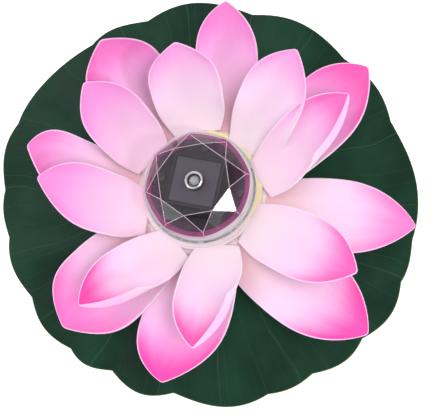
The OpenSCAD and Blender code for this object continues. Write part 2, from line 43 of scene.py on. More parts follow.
LOOK_AT = Vector((0.0083, -0.0112, 0.0160))
CAMERA_AZIMUTH, CAMERA_ELEVATION, CAMERA_REACH = np.radians(38), np.radians(74), 0.9
away = Vector((
    np.sin(CAMERA_AZIMUTH) * np.cos(CAMERA_ELEVATION),
    -np.cos(CAMERA_AZIMUTH) * np.cos(CAMERA_ELEVATION),
    np.sin(CAMERA_ELEVATION),
))
right = (-away).cross(Vector((0, 1, 0))).normalized()
upward = away.cross(right)
camera = bpy.data.objects.new("camera", bpy.data.cameras.new("camera"))
camera.data.sensor_width = 36
camera.data.lens = 111.2
camera.data.clip_end = 20
camera.matrix_world = Matrix.Translation(LOOK_AT + CAMERA_REACH * away) @ Matrix(
    (right, upward, away)).transposed().to_4x4()
bpy.context.scene.collection.objects.link(camera)
bpy.context.scene.camera = camera
bpy.context.scene.view_settings.view_transform = "Standard"


def softbox(name, azimuth, elevation, reach, side, watts, colour):
    """A square area light that faces the lamp, at an azimuth from +X and an elevation in degrees."""
    a, e = np.radians(azimuth), np.radians(elevation)
    place = Vector((np.cos(a) * np.cos(e), np.sin(a) * np.cos(e), np.sin(e)))
    light = bpy.data.objects.new(name, bpy.data.lights.new(name, "AREA"))
    light.data.shape = "SQUARE"
    light.data.size = side
    light.data.energy = watts
    light.data.color = colour
    turned = place.to_track_quat("Z", "Y").to_matrix().to_4x4()
    light.matrix_world = Matrix.Translation(LOOK_AT + reach * place) @ turned
    bpy.context.scene.collection.objects.link(light)
    return light


# name, azimuth, elevation, reach, side, watts, colour
softbox("glint_box", -32.7, 20.4, 1.2, 0.15, 3.0, (1, 1, 1))
softbox("side_box", 217, 9, 1.2, 0.4, 1.1, (0.80, 0.90, 1))
softbox("sheen_box", 145, 42, 1.6, 0.7, 5.0, (0.95, 0.98, 1))
key_box = softbox("key_box", -25, 58, 1.6, 0.8, 12.0, (1, 0.99, 0.98))
key_box.visible_glossy = False

ROOM_BRIGHT, ROOM_DIM = 0.80, 0.12
world = bpy.data.worlds.new("pale_room")
bpy.context.scene.world = world
world.use_nodes = True
nodes, links = world.node_tree.nodes, world.node_tree.links
nodes.clear()
sky = nodes.new("ShaderNodeTexCoord")
towards = nodes.new("ShaderNodeVectorMath")
towards.operation = "DOT_PRODUCT"
towards.inputs[1].default_value = (0.75, -0.58, -0.32)
links.new(sky.outputs["Generated"], towards.inputs[0])
dim = nodes.new("ShaderNodeMapRange")
dim.interpolation_type = "SMOOTHSTEP"
dim.inputs["From Min"].default_value = 0.1
dim.inputs["From Max"].default_value = 0.5
dim.inputs["To Min"].default_value = ROOM_BRIGHT
dim.inputs["To Max"].default_value = ROOM_DIM
links.new(towards.outputs["Value"], dim.inputs["Value"])
background = nodes.new("ShaderNodeBackground")
background.inputs["Color"].default_value = (0.97, 0.98, 1, 1)
links.new(dim.outputs["Result"], background.inputs["Strength"])
world_out = nodes.new("ShaderNodeOutputWorld")
links.new(background.outputs["Background"], world_out.inputs["Surface"])


def surface(u_count, v_count, corner, closed=False):
    """A grid of points and its quads: corner(u, v) gives x, y, z for whole arrays of u and v from 0 to 1,
    with u down the rows. Closed joins the last column of points to the first."""
    down, along = np.linspace(0, 1, u_count), np.linspace(0, 1, v_count, endpoint=not closed)
    u, v = np.meshgrid(down, along, indexing="ij")
    points = np.stack(corner(u, v), axis=-1).reshape(-1, 3)
    index = np.arange(u_count * v_count).reshape(u_count, v_count)
    if closed:
        index = np.concatenate([index, index[:, :1]], axis=1)
    quads = np.stack([index[:-1, :-1], index[1:, :-1], index[1:, 1:], index[:-1, 1:]], axis=-1)
    return points, quads.reshape(-1, 4), u.ravel(), v.ravel()


def mesh_object(name, points, faces):
    """An object at the origin whose mesh holds the points, and the faces of one or more arrays."""
    mesh = bpy.data.meshes.new(name)
    mesh.from_pydata(points.tolist(), [], [face for group in faces for face in group.tolist()])
    mesh.shade_smooth()
    thing = bpy.data.objects.new(name, mesh)
    bpy.context.scene.collection.objects.link(thing)
    return thing


FLOOR_HALF, FLOOR_GAP = 4, 0.0004


def floor_plane(u, v):
    """A level square a hair under the housing's base: x and y run evenly from one side to the other."""
    return FLOOR_HALF * (2 * v - 1), FLOOR_HALF * (2 * u - 1), 0 * u - FLOOR_GAP


floor_points, floor_quads, _, _ = surface(2, 2, floor_plane)
floor = mesh_object("floor", floor_points, [floor_quads[:, ::-1]])


def material(name, colour=(0.8, 0.8, 0.8), roughness=0.5, **sockets):
    """A new Principled material, and its nodes, links and shader. Other sockets are given by name."""
    made = bpy.data.materials.new(name)
    made.use_nodes = True
    shader = made.node_tree.nodes["Principled BSDF"]
    shader.inputs["Base Color"].default_value = (*colour, 1)
    shader.inputs["Roughness"].default_value = roughness
    for socket, value in sockets.items():
        shader.inputs[socket.replace("_", " ")].default_value = value
    return made, made.node_tree.nodes, made.node_tree.links, shader


def map_range(nodes, links, source, low, high, to_low=0.0, to_high=1.0):
    """A smooth step of a socket between two values; gives the result's socket."""
    step = nodes.new("ShaderNodeMapRange")
    step.interpolation_type = "SMOOTHSTEP"
    for key, value in (("From Min", low), ("From Max", high), ("To Min", to_low), ("To Max", to_high)):
        step.inputs[key].default_value = value
    links.new(source, step.inputs["Value"])
    return step.outputs["Result"]


def blend(nodes, links, factor, first, second):
    """A mix of two colours, each a socket or a plain colour; gives the result's socket."""
    mix = nodes.new("ShaderNodeMix")
    mix.data_type = "RGBA"
    for socket, value in (("Factor", factor), ("A", first), ("B", second)):
        into = next(s for s in mix.inputs if s.name == socket and s.type in ("VALUE", "RGBA") and s.enabled)
        if isinstance(value, (tuple, float, int)):
            into.default_value = (*value, 1) if isinstance(value, tuple) else value
        else:
            links.new(value, into)
    return next(s for s in mix.outputs if s.type == "RGBA")


floor_white, nodes, links, shader = material("floor_white", (0.9, 0.9, 0.9), 0.9)
shader.inputs["Emission Color"].default_value = (1, 1, 1, 1)
shader.inputs["Emission Strength"].default_value = 0.62
side = nodes.new("ShaderNodeNewGeometry")
clear = nodes.new("ShaderNodeBsdfTransparent")
either = nodes.new("ShaderNodeMixShader")
links.new(side.outputs["Backfacing"], either.inputs["Fac"])
links.new(shader.outputs["BSDF"], either.inputs[1])
links.new(clear.outputs["BSDF"], either.inputs[2])
links.new(either.outputs["Shader"], nodes["Material Output"].inputs["Surface"])
floor.data.materials.append(floor_white)

# ---- Finishes shared by the moulded and foam pieces ----
# Fine grain: the pebble of foam cells or of a spark-eroded mould, as a height.
# Scuffs: slow blotches of wear in the gloss of plastic and foam that is handled and left in the sun.

grain = bpy.data.node_groups.new("fine_grain", "ShaderNodeTree")
grain.interface.new_socket("Scale", in_out="INPUT", socket_type="NodeSocketFloat")
grain.interface.new_socket("Depth", in_out="INPUT", socket_type="NodeSocketFloat")
grain.interface.new_socket("Normal", in_out="OUTPUT", socket_type="NodeSocketVector")
g_in = grain.nodes.new("NodeGroupInput")
g_out = grain.nodes.new("NodeGroupOutput")
g_where = grain.nodes.new("ShaderNodeTexCoord")
g_noise = grain.nodes.new("ShaderNodeTexNoise")
g_noise.inputs["Detail"].default_value = 3
g_bump = grain.nodes.new("ShaderNodeBump")
grain.links.new(g_where.outputs["Object"], g_noise.inputs["Vector"])
grain.links.new(g_in.outputs["Scale"], g_noise.inputs["Scale"])
grain.links.new(g_noise.outputs["Fac"], g_bump.inputs["Height"])
grain.links.new(g_in.outputs["Depth"], g_bump.inputs["Distance"])
grain.links.new(g_bump.outputs["Normal"], g_out.inputs["Normal"])

scuffs = bpy.data.node_groups.new("scuffs", "ShaderNodeTree")
for socket in ("Scale", "Smooth", "Rough"):
    scuffs.interface.new_socket(socket, in_out="INPUT", socket_type="NodeSocketFloat")
scuffs.interface.new_socket("Roughness", in_out="OUTPUT", socket_type="NodeSocketFloat")
s_in = scuffs.nodes.new("NodeGroupInput")
s_out = scuffs.nodes.new("NodeGroupOutput")
s_where = scuffs.nodes.new("ShaderNodeTexCoord")
s_noise = scuffs.nodes.new("ShaderNodeTexNoise")
s_noise.inputs["Detail"].default_value = 4
s_range = scuffs.nodes.new("ShaderNodeMapRange")
s_range.inputs["From Min"].default_value = 0.35
s_range.inputs["From Max"].default_value = 0.65
scuffs.links.new(s_where.outputs["Object"], s_noise.inputs["Vector"])
scuffs.links.new(s_in.outputs["Scale"], s_noise.inputs["Scale"])
scuffs.links.new(s_noise.outputs["Fac"], s_range.inputs["Value"])
scuffs.links.new(s_in.outputs["Smooth"], s_range.inputs["To Min"])
scuffs.links.new(s_in.outputs["Rough"], s_range.inputs["To Max"])
scuffs.links.new(s_range.outputs["Result"], s_out.inputs["Roughness"])


def finish(nodes, links, shader, grain_scale, grain_depth, smooth, rough, patch=60):
    """Puts the shared grain and scuffs into a material with its own values."""
    pebble = nodes.new("ShaderNodeGroup")
    pebble.node_tree = grain
    pebble.inputs["Scale"].default_value = grain_scale
    pebble.inputs["Depth"].default_value = grain_depth
    links.new(pebble.outputs["Normal"], shader.inputs["Normal"])
    wear = nodes.new("ShaderNodeGroup")
    wear.node_tree = scuffs
    wear.inputs["Scale"].default_value = patch
    wear.inputs["Smooth"].default_value = smooth
    wear.inputs["Rough"].default_value = rough
    links.new(wear.outputs["Roughness"], shader.inputs["Roughness"])


def dress(node, finish_material):
    """Gives a CAD node one material in every slot."""
    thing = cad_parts[node]
    thing.data.materials.clear()
    thing.data.materials.append(finish_material)


# ---- Leaf pad ----
# One sheet of dark green foam, hot-pressed so that fine veins fan out from the hub and the edge ruffles.
# It is flat where the float bears on it, droops past that, and its cut edge shows a thin yellow-green line.

# Sizes in mm; the top takes this share of the rows, and the cut edge the part up to the middle
LEAF_THICKNESS, LEAF_TOP, LEAF_BORE, LEAF_FLAT, LEAF_DROOP = 2.0, 22.0, 33.3, 66.0, 12.0
LEAF_ROWS, LEAF_TURNS, TOP_SHARE = 120, 720, 0.47
# Each scallop of the edge: the angle where it starts, its radius there and how far it bulges
SCALLOPS = np.array([
    [20, 134, 3], [44, 133, 3], [76, 133, 6], [108, 134, 3], [126, 139, 4], [157, 146, 3],
    [176, 144, 2], [190, 141, 3], [209, 138, 4], [228, 138, 4], [241, 134, 6], [261, 135, 5],
    [287, 141, 2], [300, 141, 4], [316, 144, 5], [334, 144, 1], [346, 142, 3],
])


def leaf_edge(degrees):
    """Edge radius: between two notches it eases from one radius to the next, plus half a sine's bulge."""
    start = np.append(SCALLOPS[:, 0], SCALLOPS[0, 0] + 360)
    radius = np.append(SCALLOPS[:, 1], SCALLOPS[0, 1])
    turned = np.where(degrees < start[0], degrees + 360, degrees)
    k = np.clip(np.searchsorted(start, turned, side="right") - 1, 0, len(SCALLOPS) - 1)
    s = (turned - start[k]) / (start[k + 1] - start[k])
    eased = radius[k] + (radius[k + 1] - radius[k]) * (1 - np.cos(np.pi * s)) / 2
    return eased + SCALLOPS[k, 2] * np.sin(np.pi * s)


def leaf_sheet(u, v):
    """u runs from the bore over the top, round the cut edge and back under to the bore; v runs round the
    leaf. The top falls with the 1.4th power of the way out past the flat hub, and sine ruffles grow with
    its square."""
    turn = 2 * np.pi * v
    edge = leaf_edge(np.degrees(turn) % 360)
    along = np.clip(np.where(u < 0.5, u, 1 - u) / TOP_SHARE, 0, 1)
    radius = LEAF_BORE + (edge - LEAF_BORE) * along
    out = np.clip((radius - LEAF_FLAT) / (edge - LEAF_FLAT), 0, 1)
    ruffle = 2.2 * np.sin(7 * turn + np.radians(34)) + 1.6 * np.sin(11 * turn + np.radians(115))
    ruffle = ruffle + np.sin(4 * turn)
    crease = 0.55 * np.sin(23 * turn + 5 * out) * out * (1 - out) * 4
    top = LEAF_TOP - LEAF_DROOP * out ** 1.4 + ruffle * out ** 2 + crease * (along < 0.999)
    around = np.clip((u - TOP_SHARE) / (1 - 2 * TOP_SHARE), 0, 1) * np.pi
    half = LEAF_THICKNESS / 2
    radius = radius + half * 0.6 * (np.sin(around) - 0.6)
    height = top - half + half * np.cos(around)
    return radius * np.cos(turn) / 1000, radius * np.sin(turn) / 1000, height / 1000


leaf_points, leaf_quads, leaf_u, _ = surface(LEAF_ROWS, LEAF_TURNS, leaf_sheet, closed=True)
rim = np.arange(LEAF_TURNS)
under = (LEAF_ROWS - 1) * LEAF_TURNS + rim
bore_wall = np.stack([rim, np.roll(rim, -1), np.roll(under, -1), under], axis=-1)
leaf = mesh_object("leaf", leaf_points, [leaf_quads, bore_wall])
leaf_out = np.clip(np.where(leaf_u < 0.5, leaf_u, 1 - leaf_u) / TOP_SHARE, 0, 1)
leaf_cut = np.clip(1 - abs(leaf_u - 0.5) / 0.032, 0, 1)
for key, values in (("out", leaf_out), ("cut", leaf_cut)):
    leaf.data.attributes.new(key, "FLOAT", "POINT").data.foreach_set("value", values.astype(np.float32))

leaf_green, nodes, links, shader = material("leaf_green", roughness=0.5)
shader.inputs["Specular IOR Level"].default_value = 0.16
where = nodes.new("ShaderNodeTexCoord")
split = nodes.new("ShaderNodeSeparateXYZ")
links.new(where.outputs["Object"], split.inputs[0])
turn = nodes.new("ShaderNodeMath")
turn.operation = "ARCTAN2"
links.new(split.outputs["Y"], turn.inputs[0])
links.new(split.outputs["X"], turn.inputs[1])
out = nodes.new("ShaderNodeAttribute")
out.attribute_name = "out"
sway = nodes.new("ShaderNodeTexNoise")
sway.inputs["Scale"].default_value = 14
sway.inputs["Detail"].default_value = 2
links.new(where.outputs["Object"], sway.inputs["Vector"])


def maths(nodes, links, operation, first, second=None):
    """A Math node on sockets or numbers; gives its result's socket."""
    node = nodes.new("ShaderNodeMath")
    node.operation = operation
    for i, value in enumerate((first, second)):
        if value is None:
            continue
        if isinstance(value, (int, float)):
            node.inputs[i].default_value = value
        else:
            links.new(value, node.inputs[i])
    return node.outputs[0]


def veins(count, width, begin, full, strength):
    """Thin lines that leave the hub at even angles, swaying a little, and fade in on their way outward."""
    even = maths(nodes, links, "MULTIPLY", turn.outputs[0], count / (2 * np.pi))
    swaying = maths(nodes, links, "MULTIPLY", sway.outputs["Fac"], 0.014 * count + 0.2)
    swayed = maths(nodes, links, "ADD", even, swaying)
    saw = maths(nodes, links, "PINGPONG", swayed, 0.5)
    thin = maths(nodes, links, "DIVIDE", width * count, maths(nodes, links, "ADD", out.outputs["Fac"], 0.15))
    line = maths(nodes, links, "SUBTRACT", 1.0, maths(nodes, links, "DIVIDE", saw, thin))
    shown = maths(nodes, links, "MAXIMUM", line, 0.0)
    fade = map_range(nodes, links, out.outputs["Fac"], begin, full)
    return maths(nodes, links, "MULTIPLY", maths(nodes, links, "MULTIPLY", shown, fade), strength)


main_veins = veins(18, 0.0009, 0.0, 0.1, 1.0)
side_veins = veins(41, 0.0006, 0.35, 0.6, 0.4)
fine_veins = veins(89, 0.0005, 0.6, 0.85, 0.2)
vein = maths(nodes, links, "MAXIMUM", main_veins, maths(nodes, links, "MAXIMUM", side_veins, fine_veins))
patch = nodes.new("ShaderNodeTexNoise")
patch.inputs["Scale"].default_value = 30
patch.inputs["Detail"].default_value = 5
links.new(where.outputs["Object"], patch.inputs["Vector"])
mottled = blend(nodes, links, map_range(nodes, links, patch.outputs["Fac"], 0.35, 0.7),
                (0.0035, 0.026, 0.0125), (0.0085, 0.045, 0.023))
veined = blend(nodes, links, maths(nodes, links, "MULTIPLY", vein, 0.20), mottled, (0.10, 0.20, 0.10))
cut = nodes.new("ShaderNodeAttribute")
cut.attribute_name = "cut"
edge_shown = map_range(nodes, links, cut.outputs["Fac"], 0.1, 0.8)
rimmed = blend(nodes, links, edge_shown, veined, (0.30, 0.34, 0.13))
links.new(rimmed, shader.inputs["Base Color"])
pressed = nodes.new("ShaderNodeBump")
pressed.inputs["Distance"].default_value = 0.0006
pressed.inputs["Strength"].default_value = 0.7
links.new(vein, pressed.inputs["Height"])
cells = nodes.new("ShaderNodeTexNoise")
cells.inputs["Scale"].default_value = 900
links.new(where.outputs["Object"], cells.inputs["Vector"])
pebble = nodes.new("ShaderNodeBump")
pebble.inputs["Distance"].default_value = 0.00008
links.new(cells.outputs["Fac"], pebble.inputs["Height"])
links.new(pressed.outputs["Normal"], pebble.inputs["Normal"])
links.new(pebble.outputs["Normal"], shader.inputs["Normal"])
links.new(map_range(nodes, links, patch.outputs["Fac"], 0.3, 0.7, 0.42, 0.58), shader.inputs["Roughness"])
leaf.data.materials.append(leaf_green)
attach(leaf, "base")
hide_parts("leaf_pad")

# ---- Petals ----
# Two sheets of white foam, each die-cut into eight petals, printed on the upper face with a fade from pale
# pink at the hub to magenta at the tips, and hot-pressed into cups. The ink bleeds into the white back
# towards the tips, and the hub's rim is pale yellow on one side.
# The print carries painted shade at the petals' roots, strongest on the outer sheet.
# The print carries painted shade down the middle of each cup.

# The foam's thickness in mm; rows of points along a petal, and points across its face and round its edge
PETAL_THICKNESS, PETAL_ROWS, PETAL_TOP, PETAL_ROUND = 2.2, 96, 40, 6
# Rows close up by a power towards the tip and stop just short of it; how narrow the root, how round the tip
ROWS_CLOSE, LAST_ROW, WAIST, TIP_ROUND = 1.35, 0.996, 0.38, 0.84
# Where along the petal the cup is full, and where across the half width a rolled edge begins
CUP_FULL, ROLL_FROM = 0.4, 0.66
# The hub's bore, and the radius within which the foam stays under the lens's flange, and that height, in mm
RING_BORE, FLANGE_CLEAR, FLANGE_Z = 33.3, 38.3, 27.0
# Angle of the root, heading, length, width, pitch at the root, pitch at the tip, sideways bend, cup angle,
# sag of the middle, bluntness of the tip; the rolled edge's side and angle; how far the print's blush reaches
# down the petal, and how strong the magenta of its tip is
OUTER_PETALS = [
    [68, 83, 92, 44, 14, 54, 0, 36, 0.2, 3.0, 0, 0, 0.8, 0.35],
    [123, 122, 86, 58, 14, 62, 0, 38, 0.2, 3.6, 0, 0, 0.8, 0.5],
    [180, 180, 80, 58, 6, 52, -26, 38, 0.2, 2.8, 0, 0, 0.55, 0.4],
    [224, 229, 90, 66, 4, 32, 0, 34, 0.2, 3.4, 0, 0, 0.5, 0.6],
    [271, 263, 92, 60, 4, 22, -12, 32, 0.2, 2.8, 0, 0, 0.7, 1.0],
    [305, 322, 109, 56, 3, 14, 0, 30, 0.2, 2.4, 0, 0, 0.2, 1.0],
    [342, 349, 104, 50, 3, 14, 0, 30, 0.2, 2.2, 0, 0, 0.1, 0.6],
    [19, 35, 102, 52, 6, 42, 0, 34, 0.2, 2.8, 0, 0, 0.75, 0.8],
]
INNER_PETALS = [
    [94, 97, 69, 50, 28, 62, 0, 40, 0, 3.6, 0, 0, 0.2, 0.12],
    [38, 54, 82, 48, 20, 50, 0, 40, 0, 2.6, 0, 0, 0.15, 0.15],
    [5, 35, 89, 42, 16, 42, 0, 45, 0, 2.4, -1, 75, 0.65, 0.7],
    [323, 331, 89, 46, 12, 28, 0, 40, 0, 2.6, 0, 0, 0.3, 0.85],
    [287, 264, 81, 44, 12, 38, -3, 45, 0, 2.4, 1, 80, 0.25, 0.9],
    [246, 218, 81, 41, 12, 38, 0, 42, 0, 2.4, 1, 90, 0.4, 1.0],
    [202, 173, 78, 46, 14, 44, -10, 42, 0, 2.4, 0, 0, 1.0, 0.2],
    [147, 131, 74, 44, 24, 58, 0, 42, 0, 2.8, 0, 0, 1.0, 0.15],
]


def petal_skin(petal, top_z, root_radius):
    """A closed skin for one petal: u runs along it, v once round its section, over the top, round one cut
    edge, under the back and round the other. The middle line's pitch grows evenly from root to tip, the
    section is an arc whose angle is the cup, and the half width narrows to the waist at the root and by a
    power curve at the tip. A rolled edge turns the outer third of one side further in."""
    root, heading, length, width, pitch_0, pitch_1, bend, cup, sag, blunt, roll_side, roll = petal[:12]
    ring = 2 * (PETAL_TOP + PETAL_ROUND)

    def corner(u, v):
        place = v * ring
        on_top = place <= PETAL_TOP
        on_back = (place >= PETAL_TOP + PETAL_ROUND) & (place <= 2 * PETAL_TOP + PETAL_ROUND)
        across_back = 1 - 2 * (place - PETAL_TOP - PETAL_ROUND) / PETAL_TOP
        s = np.where(place < ring / 2, 1, -1)
        s = np.where(on_top, 2 * place / PETAL_TOP - 1, np.where(on_back, across_back, s))
        layer = np.where(place < ring / 2, place - PETAL_TOP, ring - place) / PETAL_ROUND
        layer = np.where(on_back, 1, np.where(on_top, 0, layer))
        u = LAST_ROW * (1 - (1 - u) ** ROWS_CLOSE)
        p0, p1 = np.radians(pitch_0), np.radians(pitch_1)
        pitch = p0 + (p1 - p0) * u
        out = length * (np.sin(pitch) - np.sin(p0)) / (p1 - p0)
        up = length * (np.cos(p0) - np.cos(pitch)) / (p1 - p0)
        near = 1 - WAIST * (1 - 2 * u) ** 2
        far = (1 - np.clip(2 * u - 1, 0, 1) ** blunt) ** TIP_ROUND
        half = width / 2 * np.where(u < 0.5, near, far)
        rise = np.clip(u / CUP_FULL, 0, 1)
        bow_angle = np.radians(cup * rise ** 2 * (3 - 2 * rise) + 0.06)
        bow = half / bow_angle
        turned = bow_angle * s
        across = bow * np.sin(turned)
        lift = bow * (1 - np.cos(turned)) - sag * bow * (1 - np.cos(bow_angle))
        if roll_side:
            grip = np.clip((s * roll_side - ROLL_FROM) / (1 - ROLL_FROM), 0, 1)
            grip = grip * np.clip((u - 0.25) / 0.3, 0, 1)
            extra = np.radians(roll) * grip
            fold = half * (1 - ROLL_FROM) * grip
            across = across - roll_side * fold * 0.8 * (1 - np.cos(extra))
            lift = lift + fold * np.sin(extra) * 0.8
            turned = turned + roll_side * extra
        thick = PETAL_THICKNESS * (1 - 0.5 * abs(s) ** 6) * (1 - 0.4 * u ** 8)
        round_out = 0.15 * thick * np.sin(np.pi * layer)
        deep = thick * layer
        side = bend * u ** 2 + across + deep * np.sin(turned) + round_out * np.sign(s) * np.cos(turned)
        high = lift - deep * np.cos(turned) + round_out * abs(np.sin(turned))
        reach = out - high * np.sin(pitch)
        a, h = np.radians(root), np.radians(heading)
        x = root_radius * np.cos(a) + reach * np.cos(h) - side * np.sin(h)
        y = root_radius * np.sin(a) + reach * np.sin(h) + side * np.cos(h)
        z = top_z - 0.15 + up + high * np.cos(pitch)
        z = np.where(np.hypot(x, y) < FLANGE_CLEAR, np.minimum(z, FLANGE_Z - 0.1), z)
        return x / 1000, y / 1000, z / 1000

    points, quads, u, v = surface(PETAL_ROWS, ring, corner, closed=True)
    place = v * ring
    around = np.arange(ring)
    last = len(points) - ring
    onward = np.roll(around, -1)
    start_cap = np.stack([around, onward, np.full(ring, len(points))], axis=-1)
    end_cap = np.stack([last + onward, last + around, np.full(ring, len(points) + 1)], axis=-1)
    printed = place[quads].max(axis=1) <= PETAL_TOP
    points = np.concatenate([points, points[:ring].mean(axis=0)[None], points[last:].mean(axis=0)[None]])
    along = np.append(1 - (1 - u) ** ROWS_CLOSE, [0, 1])
    across = np.append(np.clip(2 * place / PETAL_TOP - 1, -1, 1), [0, 0])
    return points, quads, np.concatenate([start_cap, end_cap]), printed, np.stack([along, across], axis=-1)


def hub_ring(inner, outer, low, high):
    """A flat ring as a surface of revolution: u runs up the bore, across the top, down the outside and back
    under, and its corners are eased."""
    ease = 0.4
    corners = np.array([
        [inner, low], [inner, high - ease], [inner + ease, high], [outer - ease, high],
        [outer, high - ease], [outer, low + ease], [outer - ease, low], [inner, low],
    ])

    def corner(u, v):
        k = u * (len(corners) - 1)
        r = np.interp(k, np.arange(len(corners)), corners[:, 0])
        z = np.interp(k, np.arange(len(corners)), corners[:, 1])
        return r * np.cos(2 * np.pi * v) / 1000, r * np.sin(2 * np.pi * v) / 1000, z / 1000

    points, quads, _, _ = surface(36, 144, corner, closed=True)
    return points, quads[:, ::-1]


PETAL_VALUES = ("along", "across", "blush", "magenta", "seed", "shaded")
SEED_STEP = 1.7


def petal_layer(name, petals, low, high, root_radius, shaded):
    """All the petals of one sheet and its hub ring in one mesh. Material 0 is the print, 1 the white foam and
    2 the hub. Each point keeps its place along and across its petal, the petal's blush and magenta, a number
    of the petal's own and how much painted shade its root gets."""
    points, faces, index, values, start = [], [], [], [], 0
    for number, petal in enumerate(petals):
        p, quads, caps, printed, place = petal_skin(petal, high, root_radius)
        points.append(p)
        faces += [quads + start, caps + start]
        index += [np.where(printed, 0, 1), np.ones(len(caps), int)]
        of_petal = np.tile([*petal[12:], number * SEED_STEP, shaded], (len(p), 1))
        values.append(np.concatenate([place, of_petal], axis=1))
        start += len(p)
    p, quads = hub_ring(RING_BORE, root_radius + 2, low, high)
    points.append(p)
    faces.append(quads + start)
    index.append(np.full(len(quads), 2))
    values.append(np.zeros((len(p), len(PETAL_VALUES))))
    thing = mesh_object(name, np.concatenate(points), faces)
    thing.data.polygons.foreach_set("material_index", np.concatenate(index).astype(np.int32))
    table = np.concatenate(values).astype(np.float32)
    for column, key in zip(table.T, PETAL_VALUES):
        written = thing.data.attributes.new(key, "FLOAT", "POINT")
        written.data.foreach_set("value", np.ascontiguousarray(column))
    return thing


# name, petals, the hub's lower and upper face, the radius where petals begin, how much painted shade their
# roots get
outer_sheet = petal_layer("outer_petal_sheet", OUTER_PETALS, 22.0, 24.5, 42, 0.75)
inner_sheet = petal_layer("inner_petal_sheet", INNER_PETALS, 24.5, 27.0, 39, 0.12)

petal_print, nodes, links, shader = material("petal_print", roughness=0.62)
shader.inputs["Specular IOR Level"].default_value = 0.35
shader.inputs["Sheen Weight"].default_value = 0.15
shader.inputs["Sheen Roughness"].default_value = 0.5
shader.inputs["Subsurface Weight"].default_value = 0.12
shader.inputs["Subsurface Scale"].default_value = 0.002
shader.inputs["Subsurface Radius"].default_value = (1, 0.5, 0.7)
read = {}
for key in PETAL_VALUES:
    node = nodes.new("ShaderNodeAttribute")
    node.attribute_name = key
    read[key] = node.outputs["Fac"]
flow = nodes.new("ShaderNodeCombineXYZ")
links.new(maths(nodes, links, "MULTIPLY", read["along"], 2.0), flow.inputs["X"])
links.new(maths(nodes, links, "MULTIPLY", read["across"], 3.0), flow.inputs["Y"])
links.new(read["seed"], flow.inputs["Z"])
streak = nodes.new("ShaderNodeTexNoise")
streak.inputs["Scale"].default_value = 1.1
streak.inputs["Detail"].default_value = 2
links.new(flow.outputs[0], streak.inputs["Vector"])
waver = maths(nodes, links, "MULTIPLY", maths(nodes, links, "SUBTRACT", streak.outputs["Fac"], 0.5), 0.13)
edge_near = maths(nodes, links, "POWER", maths(nodes, links, "ABSOLUTE", read["across"]), 3.0)
lean = maths(nodes, links, "MULTIPLY", edge_near, 0.10)
faded = maths(nodes, links, "ADD", maths(nodes, links, "ADD", read["along"], lean), waver)
pushed = maths(nodes, links, "ADD", faded, maths(nodes, links, "MULTIPLY", read["blush"], 0.3))
pale = blend(nodes, links, map_range(nodes, links, pushed, 0.1, 0.6), (0.87, 0.75, 0.81), (0.93, 0.69, 0.87))
flushed = blend(nodes, links, maths(nodes, links, "MULTIPLY", read["blush"], 0.34), pale, (0.90, 0.42, 0.66))
pink = blend(nodes, links, map_range(nodes, links, pushed, 0.5, 1.2), flushed, (0.94, 0.37, 0.80))
at_tip = maths(nodes, links, "MULTIPLY", map_range(nodes, links, faded, 0.56, 0.95), read["magenta"])
hot = blend(nodes, links, at_tip, pink, (0.94, 0.075, 0.43))
# Painted shade: the middle of each cup, part way along the petal, is darkened towards a greyish mauve.
off_middle = maths(nodes, links, "ABSOLUTE", read["across"])
middle = map_range(nodes, links, off_middle, 0.75, 0.0)
part_way = maths(nodes, links, "MULTIPLY", map_range(nodes, links, read["along"], 0.12, 0.42),
                 map_range(nodes, links, read["along"], 0.78, 0.5))
painted_cup_shade = maths(nodes, links, "MULTIPLY", maths(nodes, links, "MULTIPLY", middle, part_way), 0.17)
with_cup_shade = blend(nodes, links, painted_cup_shade, hot, (0.60, 0.38, 0.50))
# Painted shade: towards its root each petal darkens to a deep salmon pink, as far as its sheet's shaded
# value.
toward_root = maths(nodes, links, "SUBTRACT", 1.0, map_range(nodes, links, read["along"], 0.02, 0.45))
root_painted_shade = maths(nodes, links, "MULTIPLY", toward_root, read["shaded"])
root_shaded = blend(nodes, links, root_painted_shade, with_cup_shade, (0.74, 0.38, 0.42))
lit_edge = blend(nodes, links, map_range(nodes, links, off_middle, 0.98, 0.998), root_shaded, (0.93, 0.76, 0.87))
links.new(lit_edge, shader.inputs["Base Color"])
finish(nodes, links, shader, 1100, 0.00006, 0.5, 0.68, 40)

foam_white, nodes, links, shader = material("foam_white", roughness=0.7)
outward = nodes.new("ShaderNodeAttribute")
outward.attribute_name = "along"
bled = map_range(nodes, links, outward.outputs["Fac"], 0.25, 0.9)
links.new(blend(nodes, links, bled, (0.86, 0.80, 0.84), (0.93, 0.50, 0.80)), shader.inputs["Base Color"])
shader.inputs["Subsurface Weight"].default_value = 0.15
shader.inputs["Subsurface Scale"].default_value = 0.002
finish(nodes, links, shader, 1300, 0.0001, 0.6, 0.8, 40)


def off_axis(nodes, links, where):
    """The distance from the lamp's axis: the length of the place with its height left out."""
    flat = nodes.new("ShaderNodeVectorMath")
    flat.operation = "MULTIPLY"
    flat.inputs[1].default_value = (1, 1, 0)
    length = nodes.new("ShaderNodeVectorMath")
    length.operation = "LENGTH"
    links.new(where.outputs["Object"], flat.inputs[0])
    links.new(flat.outputs["Vector"], length.inputs[0])
    return length.outputs["Value"]


